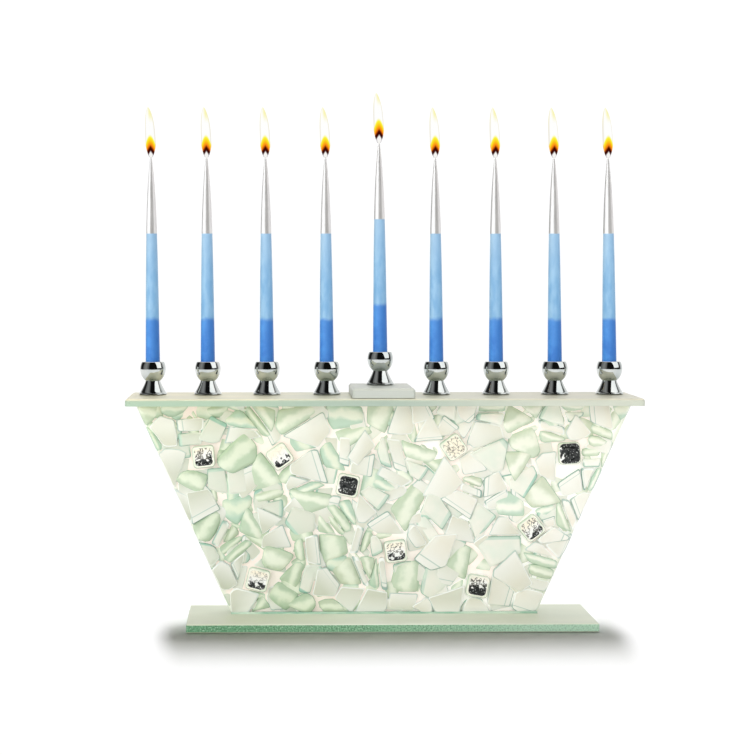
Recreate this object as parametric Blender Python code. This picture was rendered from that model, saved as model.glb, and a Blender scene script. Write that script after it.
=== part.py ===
"""A glass menorah: a base plate, a mosaic panel, a shelf, and nine candles in chrome cups.

Metres, +Z up. The front looks along -Y. The origin is at the middle of the object's
footprint, on the surface that it stands on.
"""

import math

import bmesh
import bpy
from mathutils import Matrix, Vector

# The room between two pieces that touch.
TOUCH_GAP = 0.0003

# Base plate: a strip of float glass. The panel stands a little left of its middle.
BASE_WIDTH = 0.258
BASE_DEPTH = 0.066
BASE_THICKNESS = 0.0054
BASE_SHIFT = 0.0046
BASE_ARRIS = 0.0006

# Panel: an inverted trapezoid, made of a backing sheet and the mosaic fused to it.
PANEL_FOOT_WIDTH = 0.197
PANEL_HEIGHT = 0.1352
PANEL_THICKNESS = 0.014
PANEL_SHIFT = 0.0014
BACKING_THICKNESS = 0.004

# Shelf: a strip on top of the panel, as deep as the base plate and in line with it.
SHELF_WIDTH = 0.325
SHELF_DEPTH = BASE_DEPTH
SHELF_THICKNESS = 0.0046
SHELF_OVERHANG = 0.002
SHELF_CORNER_RADIUS = 0.003
SHELF_EDGE_RADIUS = 0.0018
ROW_SETBACK = 0.041  # from the front edges to the line of the cups and the panel's middle

# Block that raises the middle cup. Both sit a little to the left of the middle.
SHAMASH_SHIFT = -0.0009
BLOCK_WIDTH = 0.0393
BLOCK_DEPTH = 0.055
BLOCK_HEIGHT = 0.006
BLOCK_BACK_SHARE = 0.29  # of its depth, behind the line of the cups
BLOCK_BEVEL = 0.0012

# Foil tiles, let into the mosaic. A place is (across, up, turn in degrees): across runs from
# -1 to 1 between the panel's slanted sides at that height, and up from 0 to 1.
TILE_SIZE = 0.0140
TILE_THICKNESS = 0.005
TILE_PROUD = 0.0006
TILE_CORNER_RADIUS = 0.0022
TILE_PLACES = (
    (-0.802, 0.745, 6),
    (-0.750, 0.160, -14),
    (-0.464, 0.745, 35),
    (-0.172, 0.607, -12),
    (0.063, 0.294, 8),
    (0.303, 0.788, 35),
    (0.565, 0.127, -10),
    (0.768, 0.402, 38),
    (0.819, 0.759, 4),
)

# Candles: dipped tapers.
CANDLE_LENGTH = 0.140
CANDLE_RADIUS = 0.00475
CANDLE_TIP_RADIUS = 0.00055
CANDLE_EVEN_TAPER = 0.4  # share of the narrowing that is even; the rest is near the tip
CANDLE_TIP_POWER = 5.6

# Wicks and flames.
WICK_RADIUS = 0.00045
WICK_LENGTH = 0.0065
FLAME_HEIGHT = 0.0325
FLAME_RADIUS = 0.0033
FLAME_FOOT_RADIUS = 0.0012
FLAME_WIDEST_SHARE = 0.28  # of its height, from the bottom

# Cups: a ball on a flared foot, with a socket that the candle stands in.
SOCKET_RADIUS = CANDLE_RADIUS + TOUCH_GAP
CUP_HEIGHT = 0.021
CUP_FOOT_RADIUS = 0.0089
CUP_LIP_HEIGHT = 0.0009  # the upright edge of the foot
CUP_LIP_STEP = 0.0003
CUP_NECK_RADIUS = 0.0047
CUP_NECK_HEIGHT = 0.0088
CUP_BALL_RADIUS = SOCKET_RADIUS + 0.0032
CUP_BALL_HEIGHT = 0.0163
CUP_RIM_RADIUS = SOCKET_RADIUS + 0.00225
CUP_RIM_CHAMFER = 0.0004
SOCKET_FLOOR_OVER_NECK = 0.0029
SHAMASH_SEAT_RISE = 0.0030  # the middle candle stands this much higher in its cup
CUP_END_INSET = 0.0151  # from the shelf's end to the outermost cup
CUP_SHARES = (0.240, 0.502, 0.760, 1.0)  # each cup's place, of the outermost's

# Sides of the turned pieces.
CUP_SIDES = 20
CANDLE_SIDES = 16
FLAME_SIDES = 12
WICK_SIDES = 6

# Where pieces lie, worked out from the sizes above.
FRONT_Y = -BASE_DEPTH / 2
ROW_Y = FRONT_Y + ROW_SETBACK
PANEL_BOTTOM_Z = BASE_THICKNESS + TOUCH_GAP
SHELF_BOTTOM_Z = PANEL_BOTTOM_Z + PANEL_HEIGHT + TOUCH_GAP
SHELF_TOP_Z = SHELF_BOTTOM_Z + SHELF_THICKNESS
PANEL_TOP_WIDTH = SHELF_WIDTH - 2 * SHELF_OVERHANG
PANEL_FRONT_Y = ROW_Y - PANEL_THICKNESS / 2
MOSAIC_THICKNESS = PANEL_THICKNESS - BACKING_THICKNESS - TOUCH_GAP
CUP_Z = SHELF_TOP_Z + TOUCH_GAP
BLOCK_TOP_Z = CUP_Z + BLOCK_HEIGHT
SHAMASH_CUP_Z = BLOCK_TOP_Z + TOUCH_GAP
SOCKET_FLOOR = CUP_NECK_HEIGHT + SOCKET_FLOOR_OVER_NECK

SMOOTH_BELOW = math.radians(35)
NEAR = 1e-6


def material(name, colour, roughness, metallic=0.0, alpha=1.0, glow=0.0):
    """A Principled material of one colour."""
    made = bpy.data.materials.new(name)
    made.use_nodes = True
    shader = made.node_tree.nodes["Principled BSDF"]
    shader.inputs["Base Color"].default_value = (*colour, 1.0)
    shader.inputs["Roughness"].default_value = roughness
    shader.inputs["Metallic"].default_value = metallic
    shader.inputs["Alpha"].default_value = alpha
    shader.inputs["Emission Color"].default_value = (*colour, 1.0)
    shader.inputs["Emission Strength"].default_value = glow
    return made


def mesh_from(name, shape, smooth=False):
    """Turns a bmesh into a mesh whose faces point outwards."""
    bmesh.ops.recalc_face_normals(shape, faces=shape.faces)
    mesh = bpy.data.meshes.new(name)
    shape.to_mesh(mesh)
    shape.free()
    if smooth:
        mesh.shade_smooth()
        mesh.set_sharp_from_angle(angle=SMOOTH_BELOW)
    return mesh


def add(name, mesh, finish, place=(0, 0, 0), turn=0.0, parent=None):
    """One object, placed by its location and turned about Y by an angle in degrees."""
    if not mesh.materials:
        mesh.materials.append(finish)
    made = bpy.data.objects.new(name, mesh)
    bpy.context.scene.collection.objects.link(made)
    made.location = place
    made.rotation_euler = (0, math.radians(turn), 0)
    made.parent = parent
    return made


def block_shape(width, depth, height):
    """A box whose bottom is at z = 0, centred on x = y = 0."""
    shape = bmesh.new()
    size = Matrix.Diagonal((width, depth, height, 1))
    raised = Matrix.Translation((0, 0, height / 2))
    bmesh.ops.create_cube(shape, size=1, matrix=raised @ size)
    return shape


def bevel(shape, edges, width, segments=1):
    bmesh.ops.bevel(
        shape,
        geom=edges,
        offset=width,
        offset_type="OFFSET",
        segments=segments,
        profile=0.5,
        affect="EDGES",
        clamp_overlap=True,
    )


def upright(edge):
    low, high = edge.verts
    return abs(low.co.z - high.co.z) > NEAR


def at_top(edge, height):
    return all(abs(v.co.z - height) < NEAR for v in edge.verts)


def turned(name, profile, sides):
    """A solid turned about Z. The profile is (radius, height) points from axis to axis."""
    shape = bmesh.new()
    ring = [shape.verts.new((radius, 0, height)) for radius, height in profile]
    edges = [shape.edges.new(pair) for pair in zip(ring, ring[1:])]
    bmesh.ops.spin(
        shape,
        geom=ring + edges,
        cent=(0, 0, 0),
        axis=(0, 0, 1),
        angle=math.tau,
        steps=sides,
        use_merge=True,
        use_duplicate=False,
    )
    bmesh.ops.remove_doubles(shape, verts=shape.verts, dist=NEAR)
    return mesh_from(name, shape, smooth=True)


def trapezoid_mesh(name, foot_width, top_width, thickness, height):
    """An upright sheet: its front at y = 0, its foot at z = 0."""
    shape = bmesh.new()
    corners = (
        (-foot_width / 2, 0),
        (foot_width / 2, 0),
        (top_width / 2, height),
        (-top_width / 2, height),
    )
    front = shape.faces.new([shape.verts.new((x, 0, z)) for x, z in corners])
    made = bmesh.ops.extrude_face_region(shape, geom=[front])
    moved = [v for v in made["geom"] if isinstance(v, bmesh.types.BMVert)]
    bmesh.ops.translate(shape, verts=moved, vec=(0, thickness, 0))
    return mesh_from(name, shape)


def tile_shape(size, thickness, corner_radius):
    """A square tile with rounded corners: its front at y = 0, its middle at x = z = 0."""
    shape = block_shape(size, size, thickness)
    bevel(shape, [e for e in shape.edges if upright(e)], corner_radius, 2)
    stand_up = Matrix.Rotation(math.radians(-90), 4, "X")
    bmesh.ops.transform(shape, matrix=stand_up, verts=shape.verts)
    return shape


def tile_places():
    """Each foil tile's middle in x and z, and its turn."""
    foot, top = PANEL_FOOT_WIDTH / 2, PANEL_TOP_WIDTH / 2
    for across, up, turn in TILE_PLACES:
        half_width = foot + (top - foot) * up
        yield PANEL_SHIFT + across * half_width, PANEL_BOTTOM_Z + up * PANEL_HEIGHT, turn


def make_base(glass):
    shape = block_shape(BASE_WIDTH, BASE_DEPTH, BASE_THICKNESS)
    bevel(shape, list(shape.edges), BASE_ARRIS)
    mesh = mesh_from("base_plate", shape)
    return add("base_plate", mesh, glass, place=(BASE_SHIFT, 0, 0))


def make_panel(sheet_glass, chip_glass, foil_glass):
    """The backing sheet, the mosaic with its pockets, and the tiles that fill them."""
    foot, top = PANEL_FOOT_WIDTH, PANEL_TOP_WIDTH
    backing_y = PANEL_FRONT_Y + MOSAIC_THICKNESS + TOUCH_GAP
    sheet = trapezoid_mesh("panel_backing_sheet", foot, top, BACKING_THICKNESS, PANEL_HEIGHT)
    add("panel_backing_sheet", sheet, sheet_glass, (PANEL_SHIFT, backing_y, PANEL_BOTTOM_Z))

    layer = trapezoid_mesh("mosaic_layer", foot, top, MOSAIC_THICKNESS, PANEL_HEIGHT)
    mosaic = add("mosaic_layer", layer, chip_glass, (PANEL_SHIFT, PANEL_FRONT_Y, PANEL_BOTTOM_Z))

    tile = tile_shape(TILE_SIZE, TILE_THICKNESS, TILE_CORNER_RADIUS)
    tile_mesh = mesh_from("foil_tile", tile)
    front_y = PANEL_FRONT_Y - TILE_PROUD
    pockets = bmesh.new()
    for number, (x, z, turn) in enumerate(tile_places(), start=1):
        add(f"foil_tile_{number}", tile_mesh, foil_glass, (x, front_y, z), turn)
        pocket = tile_shape(
            TILE_SIZE + 2 * TOUCH_GAP,
            TILE_THICKNESS + TOUCH_GAP,
            TILE_CORNER_RADIUS + TOUCH_GAP,
        )
        place = Matrix.Translation((x, front_y, z))
        swing = Matrix.Rotation(math.radians(turn), 4, "Y")
        bmesh.ops.transform(pocket, matrix=place @ swing, verts=pocket.verts)
        part = mesh_from(f"pocket_{number}", pocket)
        pockets.from_mesh(part)
        bpy.data.meshes.remove(part)
    cutter = add("pocket_cutter", mesh_from("pocket_cutter", pockets), chip_glass)
    cutter.hide_render = True
    cutter.display_type = "WIRE"
    cut = mosaic.modifiers.new("pockets", "BOOLEAN")
    cut.operation = "DIFFERENCE"
    cut.solver = "EXACT"
    cut.object = cutter
    return mosaic


def make_shelf(glass):
    """Soft upright corners, and a soft edge all round the top."""
    shape = block_shape(SHELF_WIDTH, SHELF_DEPTH, SHELF_THICKNESS)
    bevel(shape, [e for e in shape.edges if upright(e)], SHELF_CORNER_RADIUS, 3)
    rim = [e for e in shape.edges if at_top(e, SHELF_THICKNESS)]
    bevel(shape, rim, SHELF_EDGE_RADIUS, 3)
    mesh = mesh_from("shelf", shape, smooth=True)
    return add("shelf", mesh, glass, (0, FRONT_Y + SHELF_DEPTH / 2, SHELF_BOTTOM_Z))


def make_block(glass):
    shape = block_shape(BLOCK_WIDTH, BLOCK_DEPTH, BLOCK_HEIGHT)
    bevel(shape, [e for e in shape.edges if not at_top(e, 0)], BLOCK_BEVEL)
    mesh = mesh_from("shamash_block", shape)
    middle_y = ROW_Y + BLOCK_DEPTH * (BLOCK_BACK_SHARE - 0.5)
    return add("shamash_block", mesh, glass, (SHAMASH_SHIFT, middle_y, CUP_Z))


def ball_radius(end_radius, share):
    """The ball's radius at a share of the way from one of its ends to its widest ring."""
    drop = 1 - (end_radius / CUP_BALL_RADIUS) ** 2
    return CUP_BALL_RADIUS * math.sqrt(1 - drop * (1 - share) ** 2)


def cup_profile(floor):
    """From the middle of the foot, out and up round the neck and ball, and into the socket."""
    foot_steps, ball_steps, rim_steps = 3, 5, 3
    points = [(0, 0), (CUP_FOOT_RADIUS, 0), (CUP_FOOT_RADIUS, CUP_LIP_HEIGHT)]
    for step in range(foot_steps):
        share = step / foot_steps
        spread = CUP_FOOT_RADIUS - CUP_LIP_STEP - CUP_NECK_RADIUS
        radius = CUP_NECK_RADIUS + spread * (1 - share) ** 1.2
        points.append((radius, CUP_LIP_HEIGHT + share * (CUP_NECK_HEIGHT - CUP_LIP_HEIGHT)))
    for step in range(ball_steps):
        share = step / ball_steps
        height = CUP_NECK_HEIGHT + share * (CUP_BALL_HEIGHT - CUP_NECK_HEIGHT)
        points.append((ball_radius(CUP_NECK_RADIUS, share), height))
    for step in range(rim_steps + 1):
        share = step / rim_steps
        height = CUP_BALL_HEIGHT + share * (CUP_HEIGHT - CUP_BALL_HEIGHT)
        points.append((ball_radius(CUP_RIM_RADIUS, 1 - share), height))
    points += [
        (SOCKET_RADIUS + CUP_RIM_CHAMFER, CUP_HEIGHT),
        (SOCKET_RADIUS, CUP_HEIGHT - CUP_RIM_CHAMFER),
        (SOCKET_RADIUS, floor),
        (0, floor),
    ]
    return points


def candle_radius(share):
    """The taper at a share of the candle's length from its foot."""
    even = CANDLE_EVEN_TAPER * share
    tip = (1 - CANDLE_EVEN_TAPER) * share**CANDLE_TIP_POWER
    return CANDLE_TIP_RADIUS + (CANDLE_RADIUS - CANDLE_TIP_RADIUS) * (1 - even - tip)


def candle_profile():
    """Rings lie closer together towards the tip, where the taper is strongest."""
    rings = 9
    shares = [1 - (1 - ring / rings) ** 1.6 for ring in range(rings + 1)]
    sides = [(candle_radius(share), share * CANDLE_LENGTH) for share in shares]
    return [(0, 0), *sides, (0, CANDLE_LENGTH)]


def flame_profile():
    """A teardrop with a bore round the wick, from the bore's end round to the flame's point."""
    bore = WICK_RADIUS + TOUCH_GAP
    bore_top = WICK_LENGTH
    points = [(0, bore_top), (bore, bore_top), (bore, 0)]
    rings = 8
    for ring in range(rings):
        share = ring / rings
        if share < FLAME_WIDEST_SHARE:
            swell = math.sin(share / FLAME_WIDEST_SHARE * math.pi / 2)
            radius = FLAME_FOOT_RADIUS + (FLAME_RADIUS - FLAME_FOOT_RADIUS) * swell
        else:
            fall = (share - FLAME_WIDEST_SHARE) / (1 - FLAME_WIDEST_SHARE)
            radius = FLAME_RADIUS * (1 - fall**3) ** 0.75
        points.append((radius, share * FLAME_HEIGHT))
    return [*points, (0, FLAME_HEIGHT)]


def make_candles(chrome, wax, cord, fire):
    """Nine cups, each with its candle, wick and flame. A candle's origin is on its axis."""
    cup = turned("cup", cup_profile(SOCKET_FLOOR), CUP_SIDES)
    tall_cup = turned("shamash_cup", cup_profile(SOCKET_FLOOR + SHAMASH_SEAT_RISE), CUP_SIDES)
    candle = turned("candle", candle_profile(), CANDLE_SIDES)
    wick_profile = [(0, 0), (WICK_RADIUS, 0), (WICK_RADIUS, WICK_LENGTH), (0, WICK_LENGTH)]
    wick = turned("wick", wick_profile, WICK_SIDES)
    flame = turned("flame", flame_profile(), FLAME_SIDES)

    def set_up(prefix, suffix, cup_mesh, x, z, floor):
        add(f"{prefix}cup{suffix}", cup_mesh, chrome, (x, ROW_Y, z))
        seat = z + floor + TOUCH_GAP
        stick = add(f"{prefix}candle{suffix}", candle, wax, (x, ROW_Y, seat))
        above = CANDLE_LENGTH + TOUCH_GAP
        add(f"{prefix}wick{suffix}", wick, cord, (0, 0, above), parent=stick)
        add(f"{prefix}flame{suffix}", flame, fire, (0, 0, above + TOUCH_GAP), parent=stick)

    outermost = SHELF_WIDTH / 2 - CUP_END_INSET
    places = sorted(side * share * outermost for side in (-1, 1) for share in CUP_SHARES)
    for number, x in enumerate(places, start=1):
        set_up("", f"_{number}", cup, x, CUP_Z, SOCKET_FLOOR)
    shamash_floor = SOCKET_FLOOR + SHAMASH_SEAT_RISE
    set_up("shamash_", "", tall_cup, SHAMASH_SHIFT, SHAMASH_CUP_Z, shamash_floor)


def main():
    for old in list(bpy.data.objects):
        bpy.data.objects.remove(old)

    frosted = material("frosted_glass", (0.72, 0.78, 0.68), 0.55, alpha=0.9)
    shelf_glass = material("shelf_glass", (0.80, 0.80, 0.70), 0.5, alpha=0.9)
    chip_glass = material("mosaic_glass", (0.72, 0.80, 0.68), 0.25, alpha=0.8)
    foil_glass = material("foil_glass", (0.35, 0.36, 0.36), 0.2, metallic=0.8)
    chrome = material("chrome", (0.80, 0.82, 0.84), 0.08, metallic=1.0)
    wax = material("candle_wax", (0.30, 0.54, 0.80), 0.45)
    cord = material("wick_cotton", (0.05, 0.04, 0.03), 0.9)
    fire = material("flame", (1.0, 0.80, 0.35), 0.6, glow=4.0)

    make_base(frosted)
    make_panel(frosted, chip_glass, foil_glass)
    make_shelf(shelf_glass)
    make_block(shelf_glass)
    make_candles(chrome, wax, cord, fire)
    bpy.context.view_layer.update()
    lowest = min((o.matrix_world @ Vector(c)).z for o in bpy.data.objects for c in o.bound_box)
    highest = max((o.matrix_world @ Vector(c)).z for o in bpy.data.objects for c in o.bound_box)
    print(f"menorah: {highest - lowest:.4f} m high, {SHELF_WIDTH:.4f} m wide")


main()
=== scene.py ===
# %% [markdown]
# # A glass menorah, finished around its CAD frame
#
# The frame holds every piece's true size and place: a base plate, a mosaic panel with slanted
# sides, a shelf, nine chrome cups, and a candle with its wick and flame for each cup. This lesson adds
# what a solid model leaves out: broken glass chips, frosted and cut edges, crinkled foil,
# polished metal, dipped wax and fire.

# %% Load the frame
import math
import random

import bpy
from mathutils import Matrix, Vector, noise


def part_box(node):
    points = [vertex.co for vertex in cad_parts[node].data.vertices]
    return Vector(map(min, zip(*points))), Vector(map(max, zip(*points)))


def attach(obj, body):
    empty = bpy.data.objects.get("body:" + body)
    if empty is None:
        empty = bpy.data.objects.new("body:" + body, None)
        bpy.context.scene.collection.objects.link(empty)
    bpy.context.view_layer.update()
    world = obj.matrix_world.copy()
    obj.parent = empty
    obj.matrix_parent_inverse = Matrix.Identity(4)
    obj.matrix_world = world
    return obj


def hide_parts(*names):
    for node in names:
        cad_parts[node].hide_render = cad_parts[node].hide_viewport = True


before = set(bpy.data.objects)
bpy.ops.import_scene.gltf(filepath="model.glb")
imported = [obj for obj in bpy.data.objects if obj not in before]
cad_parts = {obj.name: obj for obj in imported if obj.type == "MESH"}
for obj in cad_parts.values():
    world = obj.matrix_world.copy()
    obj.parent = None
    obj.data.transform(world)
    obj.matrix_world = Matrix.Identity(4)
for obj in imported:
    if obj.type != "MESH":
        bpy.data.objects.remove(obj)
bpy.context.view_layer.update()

# %% [markdown]
# Positions are read from the frame, so that everything new lies where the solid it stands for
# lies. Eight candles have numbers. The ninth, which stands higher and lights the others, is
# the shamash. Each one rides on its own body, because it can be lifted out.

# %% Read the places
STAND = "stand"
CANDLES = [(str(number), f"candle_{number}") for number in range(1, 9)]
CANDLES.append(("shamash", "shamash"))


def node_named(kind, who):
    """The frame's name for the cup, candle, wick or flame of one place in the row."""
    return f"shamash_{kind}" if who == "shamash" else f"{kind}_{who}"


panel_low, panel_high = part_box("mosaic_layer")
base_low, base_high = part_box("base_plate")
print("panel height:", round(panel_high.z - panel_low.z, 4))

# %% [markdown]
# Tones are easier to choose on the usual 0 to 255 scale of a screen, while a shader works in
# linear light. This helper turns one into the other.


# %% A tone helper
def tone(red, green, blue):
    """A screen colour as linear light."""
    shares = (v / 255 for v in (red, green, blue))
    return tuple(s / 12.92 if s <= 0.04045 else ((s + 0.055) / 1.055) ** 2.4 for s in shares)


# %% [markdown]
# A shader tree could be wired node by node, which hides the sum it works out. Here `Wire`
# holds one output and turns `+`, `-`, `*`, `/` and `**` into Math nodes, so that a finish
# reads as a formula. `Wiring` adds every other kind of node with one method.


# %% Shader wiring
class Wire:
    """One shader value that takes part in sums."""

    def __init__(self, wiring, socket):
        self.wiring = wiring
        self.socket = socket

    def maths(self, operation, *values, clamp=False):
        settings = {"operation": operation, "use_clamp": clamp}
        return self.wiring.node("ShaderNodeMath", settings, [self, *values])

    def __add__(self, value):
        return self.maths("ADD", value)

    __radd__ = __add__

    def __sub__(self, value):
        return self.maths("SUBTRACT", value)

    def __rsub__(self, value):
        return self.wiring.node("ShaderNodeMath", {"operation": "SUBTRACT"}, [value, self])

    def __mul__(self, value):
        return self.maths("MULTIPLY", value)

    __rmul__ = __mul__

    def __truediv__(self, value):
        return self.maths("DIVIDE", value)

    def __pow__(self, value):
        return self.maths("POWER", value)

    def clamped(self):
        return self.maths("ADD", 0.0, clamp=True)

    def step(self, start, end):
        """0 below start, 1 above end, and smooth between them."""
        settings = {"interpolation_type": "SMOOTHSTEP"}
        return self.wiring.node("ShaderNodeMapRange", settings, [self, start, end, 0.0, 1.0])


class Wiring:
    """A shader tree."""

    def __init__(self, tree):
        self.tree = tree

    def node(self, kind, settings=None, values=(), output=0):
        """Adds a node. values is a list in socket order, or a dict by socket number or name."""
        made = self.tree.nodes.new(kind)
        for name, value in (settings or {}).items():
            if name == "stops":
                self.set_stops(made.color_ramp, value)
            else:
                setattr(made, name, value)
        pairs = values.items() if isinstance(values, dict) else enumerate(values)
        for place, value in pairs:
            self.plug(value, made.inputs[place])
        return Wire(self, made.outputs[output])

    @staticmethod
    def set_stops(ramp, stops):
        while len(ramp.elements) < len(stops):
            ramp.elements.new(1.0)
        for element, (place, colour) in zip(ramp.elements, stops):
            element.position = place
            element.color = (*colour, 1.0)

    def plug(self, value, socket):
        if isinstance(value, Wire):
            self.tree.links.new(value.socket, socket)
        elif isinstance(value, tuple) and socket.type == "RGBA":
            socket.default_value = (*value, 1.0)
        else:
            socket.default_value = value

    def part(self, vector, axis):
        return self.node("ShaderNodeSeparateXYZ", values=[vector], output=axis)

    def ramp(self, factor, stops):
        return self.node("ShaderNodeValToRGB", {"stops": stops}, [factor])


# %% [markdown]
# Every finish is a Principled material. What changes over a surface is worked out from the
# place on the piece, from noise, or from numbers kept on its vertices.


# %% A finish
class Finish(Wiring):
    """A material. Constants are given by their socket's name, with _ for a space."""

    def __init__(self, name, **constants):
        self.material = bpy.data.materials.new(name)
        self.material.use_nodes = True
        super().__init__(self.material.node_tree)
        self.shader = self.tree.nodes["Principled BSDF"]
        self.set(**constants)

    def set(self, **values):
        for socket, value in values.items():
            self.plug(value, self.shader.inputs[socket.replace("_", " ")])

    def place(self):
        """The point on the piece, in metres."""
        return self.node("ShaderNodeTexCoord", output="Object")

    def along(self, axis):
        return self.part(self.place(), axis)

    def facing(self, axis):
        """How far the surface faces along an axis of the piece, from -1 to 1."""
        return self.part(self.node("ShaderNodeTexCoord", output="Normal"), axis)

    def attribute(self, name):
        return self.node("ShaderNodeAttribute", {"attribute_name": name}, output="Fac")

    def attributes(self, *names):
        return [self.attribute(name) for name in names]

    def noise(self, scale, detail=2.0, stretch=(1, 1, 1), roughness=0.5):
        """Cloudy noise from 0 to 1. scale is in cycles per metre."""
        vector = self.node("ShaderNodeMapping", values={"Vector": self.place(), "Scale": stretch})
        values = {"Vector": vector, "Scale": scale, "Detail": detail, "Roughness": roughness}
        return self.node("ShaderNodeTexNoise", values=values, output="Fac")

    def mix(self, factor, first, second):
        settings = {"data_type": "RGBA"}
        return self.node("ShaderNodeMix", settings, {0: factor, 6: first, 7: second}, output=2)

    def bump(self, height, strength, distance):
        values = {"Strength": strength, "Distance": distance, "Height": height}
        self.set(Normal=self.node("ShaderNodeBump", values=values, output="Normal"))


# %% [markdown]
# ## The studio
#
# Clear glass and chrome show the room more than themselves. The room is white behind the
# object, and dark in front of it, so that chrome has something dark to mirror. The lamps that
# light the front are kept out of reflections, except for one broad window on the right, which
# every cup shows.
#
# The camera stands a little left of the middle, at two thirds of the object's height. The
# lens is shifted down and to the side, instead of turned, so that upright lines stay upright.


# %% Camera
CAMERA_PLACE = (-0.0741, -1.151, 0.224)
LENS_LENGTH = 85.73
LENS_SHIFT = (0.11, -0.12)
LOOKS_DOWN, LOOKS_RIGHT = 0.432, 0.882


def make_camera():
    lens = bpy.data.cameras.new("camera")
    lens.lens = LENS_LENGTH
    lens.shift_x, lens.shift_y = LENS_SHIFT
    lens.clip_start = 0.05
    lens.clip_end = 50
    camera = bpy.data.objects.new("camera", lens)
    camera.location = CAMERA_PLACE
    level = math.radians(90 - LOOKS_DOWN)
    camera.rotation_euler = (level, 0, -math.radians(LOOKS_RIGHT))
    bpy.context.scene.collection.objects.link(camera)
    bpy.context.scene.camera = camera


make_camera()
bpy.context.scene.view_settings.view_transform = "Standard"


# %% [markdown]
# The floor is white paper. It has to end somewhere, and its far edge would draw a line behind
# the object. So the paper turns into plain white light a little way out from the base, and
# meets the white room without an edge. That glow is painted light over the paper's shadow: it
# sets where the shadow fades out, and comes sooner at the two ends, which keeps it short there.


# %% Floor
FLOOR_SIZE = 5.0
# The gap between the paper and the base, so that the two faces don't flicker.
FLOOR_DROP = 0.0002
# How far out the paper starts to turn white, and where it is all white.
PAPER_ENDS = (0.035, 0.140)
# How many times sooner that is at the two ends, and how round its corners are, 2 for a circle.
END_HASTE, ROUNDNESS = 6.0, 1.4


def paper_finish():
    paper = Finish("floor_paper", Roughness=0.9, Specular_IOR_Level=0.0)
    paper.set(Base_Color=tone(246, 246, 246))
    base_middle, base_half = (base_low + base_high) / 2, (base_high - base_low) / 2
    past_end = (paper.along("X") - base_middle.x).maths("ABSOLUTE") - base_half.x
    past_side = (paper.along("Y") - base_middle.y).maths("ABSOLUTE") - base_half.y
    past_end = past_end.maths("MAXIMUM", 0.0) * END_HASTE
    past_side = past_side.maths("MAXIMUM", 0.0)
    distance = (past_end**ROUNDNESS + past_side**ROUNDNESS) ** (1 / ROUNDNESS)
    white = paper.node("ShaderNodeEmission", values={"Color": (1, 1, 1), "Strength": 1.05})
    plain = Wire(paper, paper.shader.outputs[0])
    # Painted light: the glow fades the shadow out, sooner at the two ends.
    blend = paper.node("ShaderNodeMixShader", values=[distance.step(*PAPER_ENDS), plain, white])
    paper.plug(blend, paper.tree.nodes["Material Output"].inputs["Surface"])
    return paper.material


def make_floor():
    bpy.ops.mesh.primitive_plane_add(size=FLOOR_SIZE)
    floor = bpy.context.object
    floor.name = "floor"
    for vertex in floor.data.vertices:
        vertex.co.z = -FLOOR_DROP
    floor.data.materials.append(paper_finish())
    return floor


floor = make_floor()


# %% [markdown]
# Light linking tells each lamp what it lights. Front lamps would wash the soft shadow off the
# paper, so they leave the paper out. One lamp above and behind lights nothing but the paper,
# and throws that shadow forwards. All are large, because a small lamp draws a hard edge.


# %% Lamps
def floor_only(name, state):
    """A collection for a lamp that lights the floor alone, or all but the floor."""
    group = bpy.data.collections.new(name)
    group.objects.link(floor)
    group.collection_objects[0].light_linking.link_state = state
    return group


# All lamps face this point, in the middle of the object.
AIM = Vector((0, 0, 0.15))
THE_FLOOR = floor_only("the_floor", "INCLUDE")
NOT_THE_FLOOR = floor_only("not_the_floor", "EXCLUDE")


def soft_box(name, towards, distance, size, power, lights=NOT_THE_FLOOR, mirrored=False):
    """A rectangular lamp in a direction from the object, facing it."""
    lamp = bpy.data.lights.new(name, "AREA")
    lamp.shape = "RECTANGLE"
    lamp.size, lamp.size_y = size
    lamp.energy = power
    box = bpy.data.objects.new(name, lamp)
    direction = Vector(towards).normalized()
    box.location = AIM + direction * distance
    box.rotation_euler = direction.to_track_quat("Z", "Y").to_euler()
    box.visible_glossy = mirrored
    box.light_linking.receiver_collection = lights
    bpy.context.scene.collection.objects.link(box)


soft_box("window_right", (0.71, -0.39, 0.56), 1.2, (1.10, 1.30), 6.0, mirrored=True)
soft_box("wash_left", (-0.78, -0.60, 0.22), 1.8, (1.5, 1.4), 17)
soft_box("fill_front", (-0.02, -0.97, 0.20), 2.2, (1.6, 0.9), 19)
soft_box("top_light", (0.0, 0.30, 0.95), 1.5, (1.2, 0.6), 5.5)
soft_box("shadow_caster", (0.0, 0.33, 0.95), 1.5, (0.8, 0.8), 25, lights=THE_FLOOR)


# %% [markdown]
# What the camera sees behind the object is plain white. What glass and chrome mirror is a
# room whose brightness goes round with the angle, like a studio with black flags. The camera's
# own rays are told apart from all others by a Light Path node.


# %% Room
# The brightness from behind over the left, the front and the right to behind again: white, a
# black flag, a grey screen, more black, and white.
ROOM_ROUND = (
    (0.00, 1.00),
    (0.08, 0.90),
    (0.14, 0.03),
    (0.23, 0.006),
    (0.25, 0.16),
    (0.33, 0.30),
    (0.40, 0.12),
    (0.42, 0.006),
    (0.77, 0.008),
    (0.80, 0.55),
    (0.86, 0.95),
    (1.00, 1.00),
)


def make_room():
    world = bpy.data.worlds.new("room")
    bpy.context.scene.world = world
    world.use_nodes = True
    world.node_tree.nodes.clear()
    room = Wiring(world.node_tree)
    direction = room.node("ShaderNodeTexCoord", output="Generated")
    angle = room.part(direction, "X").maths("ARCTAN2", 0.0 - room.part(direction, "Y"))
    stops = [(place, (light, light, light)) for place, light in ROOM_ROUND]
    brightness = room.ramp(angle / math.tau + 0.5, stops)
    mirrored = room.node("ShaderNodeBackground", values={"Color": brightness})
    seen = room.node("ShaderNodeBackground", values={"Color": (1, 1, 1), "Strength": 1.05})
    by_camera = room.node("ShaderNodeLightPath", output="Is Camera Ray")
    shown = room.node("ShaderNodeMixShader", values=[by_camera, mirrored, seen])
    output = world.node_tree.nodes.new("ShaderNodeOutputWorld")
    room.plug(shown, output.inputs["Surface"])


make_room()

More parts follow.
